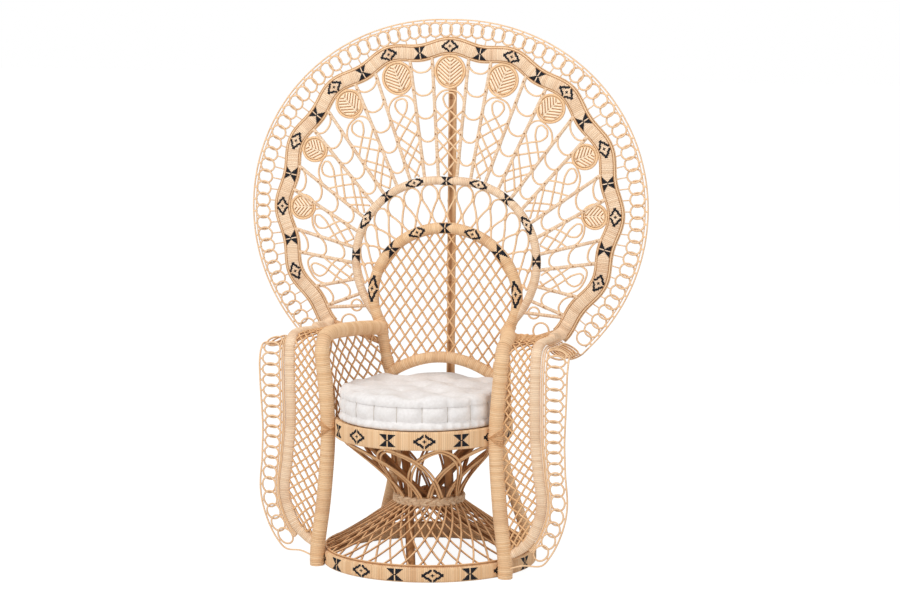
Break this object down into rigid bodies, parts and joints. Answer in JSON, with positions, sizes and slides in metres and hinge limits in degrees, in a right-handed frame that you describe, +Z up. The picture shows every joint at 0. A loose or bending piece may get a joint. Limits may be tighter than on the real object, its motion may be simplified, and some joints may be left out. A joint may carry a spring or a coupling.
{
  "type": "peacock chair",
  "caption": "Woven rattan armchair with a round fan-shaped high back, wing arms, an hourglass pedestal on a ring base and a loose round seat cushion.",
  "frame": {"origin": "on the floor at the centre of the base ring", "axes": "+X to the right of someone who faces the chair, +Y towards its back, +Z up; the chair faces -Y"},
  "size_m": [1.1686, 0.6, 1.5014],
  "materials": {
    "cane": "clear lacquer",
    "pale_cane": "clear lacquer",
    "shaded_cane": "brown lacquer",
    "rope": "dry fibre",
    "cotton": "plain weave"
  },
  "bodies": {
    "chair": {"base_ring": "pale_cane", "waist_hoop": "shaded_cane", "waist_braid": "rope", "seat_ring": "pale_cane", "seat_deck": "cane", "skirt_lattice": "cane", "throat_arches": "cane", "pedestal_strut_1": "shaded_cane", "pedestal_strut_2": "shaded_cane", "pedestal_strut_3": "shaded_cane", "pedestal_strut_4": "shaded_cane", "inner_arch": "cane", "second_arch": "pale_cane", "lower_arch": "cane", "rear_pole": "shaded_cane", "scallop_band": "pale_cane", "back_lace": "pale_cane", "fan_ladder_left_1": "pale_cane", "fan_ladder_left_2": "pale_cane", "fan_ladder_left_3": "pale_cane", "fan_ladder_left_4": "pale_cane", "fan_ladder_left_5": "pale_cane", "fan_ladder_left_6": "pale_cane", "fan_ladder_right_1": "pale_cane", "fan_ladder_right_2": "pale_cane", "fan_ladder_right_3": "pale_cane", "fan_ladder_right_4": "pale_cane", "fan_ladder_right_5": "pale_cane", "fan_ladder_right_6": "pale_cane", "fan_spray_middle": "pale_cane", "fan_spray_left_1": "pale_cane", "fan_spray_left_2": "pale_cane", "fan_spray_left_3": "pale_cane", "fan_spray_left_4": "pale_cane", "fan_spray_left_5": "pale_cane", "fan_spray_right_1": "pale_cane", "fan_spray_right_2": "pale_cane", "fan_spray_right_3": "pale_cane", "fan_spray_right_4": "pale_cane", "fan_spray_right_5": "pale_cane", "teardrop_row": "pale_cane", "back_lattice": "cane", "front_post_left": "cane", "front_post_right": "cane", "wing_frame_left": "pale_cane", "wing_frame_right": "pale_cane", "wing_lattice_left": "cane", "wing_lattice_right": "cane", "wing_lace_left": "pale_cane", "wing_lace_right": "pale_cane", "arm_side_lattice_left": "cane", "arm_side_lattice_right": "cane", "arm_back_rail_left": "shaded_cane", "arm_back_rail_right": "shaded_cane"},
    "cushion": {"seat_cushion": "cotton"}
  },
  "joints": [
    {"name": "cushion_slide", "type": "slide", "parent": "chair", "child": "cushion", "axis": [0, -1, 0], "range_m": [0, 0.23]}
  ]
}
